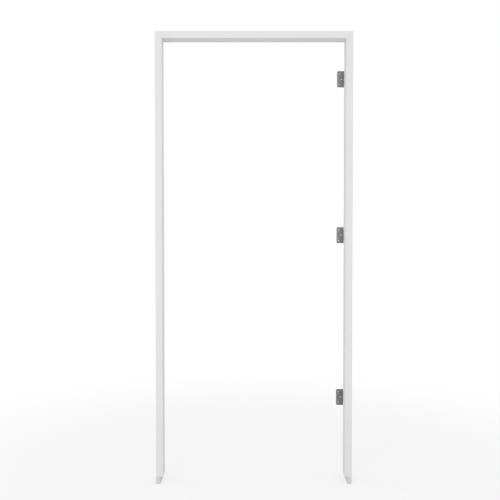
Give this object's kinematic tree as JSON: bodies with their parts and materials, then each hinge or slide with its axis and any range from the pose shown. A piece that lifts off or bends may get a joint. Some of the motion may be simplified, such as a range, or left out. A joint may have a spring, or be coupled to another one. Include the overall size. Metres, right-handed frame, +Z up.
{
  "type": "exterior door frame",
  "caption": "Rebated frame for an outside door: side jambs and a head with seals, feet housed for a sill, and butt hinges whose free leaves take the door.",
  "frame": {"origin": "on the floor, midway between the jambs and midway through the overall depth", "axes": "+X across the doorway towards the hinge jamb, +Y towards the inside of the building, +Z up"},
  "size_m": [0.9018, 0.1272, 2.0733],
  "materials": {
    "primed_wood": "white primer, matt",
    "composite_foot": "primed composite, matt",
    "seal_foam": "film-covered foam",
    "satin_nickel": "satin nickel",
    "zinc_screw": "zinc plated"
  },
  "bodies": {
    "frame": {"bottom_hinge_jamb_leaf": "satin_nickel", "bottom_hinge_pin": "satin_nickel", "bottom_hinge_screw_1": "satin_nickel", "bottom_hinge_screw_2": "satin_nickel", "bottom_hinge_screw_3": "satin_nickel", "head_jamb": "primed_wood", "head_seal": "seal_foam", "hinge_corner_screw_1": "zinc_screw", "hinge_corner_screw_2": "zinc_screw", "hinge_corner_screw_3": "zinc_screw", "hinge_jamb": "primed_wood", "hinge_jamb_foot": "composite_foot", "hinge_jamb_seal": "seal_foam", "middle_hinge_jamb_leaf": "satin_nickel", "middle_hinge_pin": "satin_nickel", "middle_hinge_screw_1": "satin_nickel", "middle_hinge_screw_2": "satin_nickel", "middle_hinge_screw_3": "satin_nickel", "strike_corner_screw_1": "zinc_screw", "strike_corner_screw_2": "zinc_screw", "strike_corner_screw_3": "zinc_screw", "strike_jamb": "primed_wood", "strike_jamb_foot": "composite_foot", "strike_jamb_seal": "seal_foam", "top_hinge_jamb_leaf": "satin_nickel", "top_hinge_pin": "satin_nickel", "top_hinge_screw_1": "satin_nickel", "top_hinge_screw_2": "satin_nickel", "top_hinge_screw_3": "satin_nickel"},
    "top_door_leaf": {"top_hinge_door_leaf": "satin_nickel"},
    "middle_door_leaf": {"middle_hinge_door_leaf": "satin_nickel"},
    "bottom_door_leaf": {"bottom_hinge_door_leaf": "satin_nickel"}
  },
  "joints": [
    {"name": "top_hinge_swing", "type": "hinge", "parent": "frame", "child": "top_door_leaf", "pos_m": [0.431, 0.05833, 1.8826], "axis": [0, 0, 1], "range_deg": [-90, 90]},
    {"name": "middle_hinge_swing", "type": "hinge", "parent": "frame", "child": "middle_door_leaf", "pos_m": [0.431, 0.05833, 1.1468], "axis": [0, 0, 1], "range_deg": [-90, 90]},
    {"name": "bottom_hinge_swing", "type": "hinge", "parent": "frame", "child": "bottom_door_leaf", "pos_m": [0.431, 0.05833, 0.3743], "axis": [0, 0, 1], "range_deg": [-90, 90]}
  ]
}
